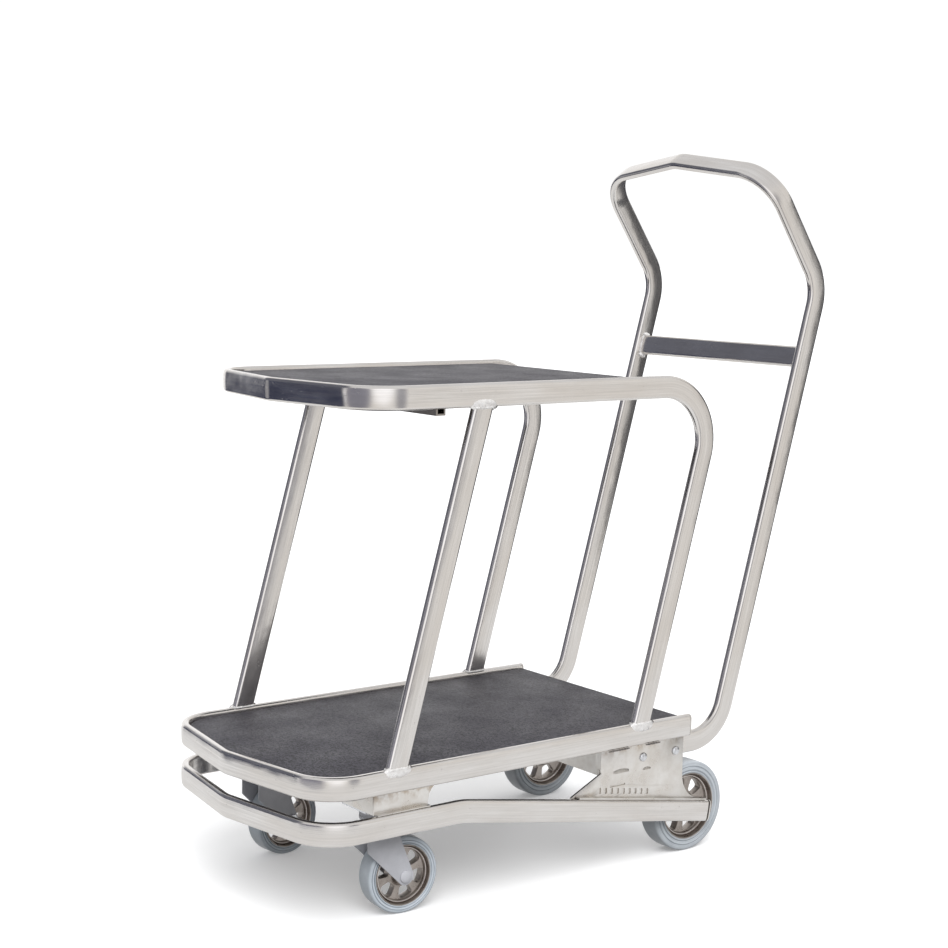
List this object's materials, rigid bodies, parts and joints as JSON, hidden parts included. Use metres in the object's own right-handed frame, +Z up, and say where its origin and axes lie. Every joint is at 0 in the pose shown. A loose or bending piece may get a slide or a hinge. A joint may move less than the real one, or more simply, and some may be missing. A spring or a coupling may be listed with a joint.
{
  "type": "hotel luggage cart",
  "caption": "Nestable luggage cart of bent flat tube with upper and lower decks, a tall push handle, spoked rear wheels and swivelling front casters.",
  "frame": {"origin": "on the floor, at the middle of the cart's length and width", "axes": "+Z up, -Y towards the nose, +Y towards the person who pushes, +X to that person's left as the cart is seen from its handle"},
  "size_m": [0.482, 1.1094, 1.2265],
  "materials": {
    "brushed_tube": "satin polished, faint brushing along the tube",
    "folded_sheet": "satin, light handling marks",
    "deck_board": "dark grey anti-slip coated board",
    "grey_rubber": "blue-grey non-marking rubber",
    "cast_rim": "champagne cast metal, satin",
    "grey_paint": "light grey paint, satin",
    "zinc": "zinc plated",
    "bush_plastic": "matt",
    "cap_metal": "satin polished"
  },
  "bodies": {
    "frame": {"caster_plate_left": "zinc", "caster_plate_right": "zinc", "channel_end_left": "folded_sheet", "channel_end_right": "folded_sheet", "front_caster_channel": "folded_sheet", "front_leg_left": "brushed_tube", "front_leg_right": "brushed_tube", "handle_crossbar": "brushed_tube", "handle_tube": "brushed_tube", "kingpin_left": "zinc", "kingpin_right": "zinc", "lower_deck_board": "deck_board", "lower_frame_tube": "brushed_tube", "lower_rail_cap_left": "cap_metal", "lower_rail_cap_right": "cap_metal", "nesting_rail": "brushed_tube", "nesting_rail_cap_left": "cap_metal", "nesting_rail_cap_right": "cap_metal", "plate_bolt_front_left": "zinc", "plate_bolt_front_right": "zinc", "plate_bolt_rear_left": "zinc", "plate_bolt_rear_right": "zinc", "rear_axle_left": "zinc", "rear_axle_nut_left": "zinc", "rear_axle_nut_right": "zinc", "rear_axle_right": "zinc", "rear_cross_member": "folded_sheet", "side_plate_left": "folded_sheet", "side_plate_right": "folded_sheet", "upper_bearer_front": "folded_sheet", "upper_bearer_rear": "folded_sheet", "upper_deck_board": "deck_board", "upper_frame_tube": "brushed_tube"},
    "rear_wheel_left": {"rear_left_tyre": "grey_rubber", "rear_left_rim": "cast_rim", "rear_left_bush": "bush_plastic"},
    "rear_wheel_right": {"rear_right_tyre": "grey_rubber", "rear_right_rim": "cast_rim", "rear_right_bush": "bush_plastic"},
    "front_wheel_left": {"front_left_tyre": "grey_rubber", "front_left_rim": "cast_rim", "front_left_bush": "bush_plastic"},
    "front_wheel_right": {"front_right_tyre": "grey_rubber", "front_right_rim": "cast_rim", "front_right_bush": "bush_plastic"},
    "caster_left": {"swivel_head_left": "grey_paint", "fork_left": "grey_paint", "fork_axle_left": "grey_paint", "fork_axle_nut_left": "zinc"},
    "caster_right": {"swivel_head_right": "grey_paint", "fork_right": "grey_paint", "fork_axle_right": "grey_paint", "fork_axle_nut_right": "zinc"}
  },
  "joints": [
    {"name": "rear_wheel_left_spin", "type": "hinge", "parent": "frame", "child": "rear_wheel_left", "pos_m": [0.197, 0.2586, 0.08], "axis": [1, 0, 0], "continuous": true},
    {"name": "rear_wheel_right_spin", "type": "hinge", "parent": "frame", "child": "rear_wheel_right", "pos_m": [-0.197, 0.2586, 0.08], "axis": [1, 0, 0], "continuous": true},
    {"name": "caster_left_swivel", "type": "hinge", "parent": "frame", "child": "caster_left", "pos_m": [0.172, -0.3764, 0.165], "axis": [0, 0, 1], "continuous": true},
    {"name": "front_wheel_left_spin", "type": "hinge", "parent": "caster_left", "child": "front_wheel_left", "pos_m": [0.17557, -0.33556, 0.0625], "axis": [0.9962, -0.0872, 0], "continuous": true},
    {"name": "caster_right_swivel", "type": "hinge", "parent": "frame", "child": "caster_right", "pos_m": [-0.172, -0.3764, 0.165], "axis": [0, 0, 1], "continuous": true},
    {"name": "front_wheel_right_spin", "type": "hinge", "parent": "caster_right", "child": "front_wheel_right", "pos_m": [-0.17629, -0.33563, 0.0625], "axis": [0.9945, 0.1045, 0], "continuous": true}
  ]
}
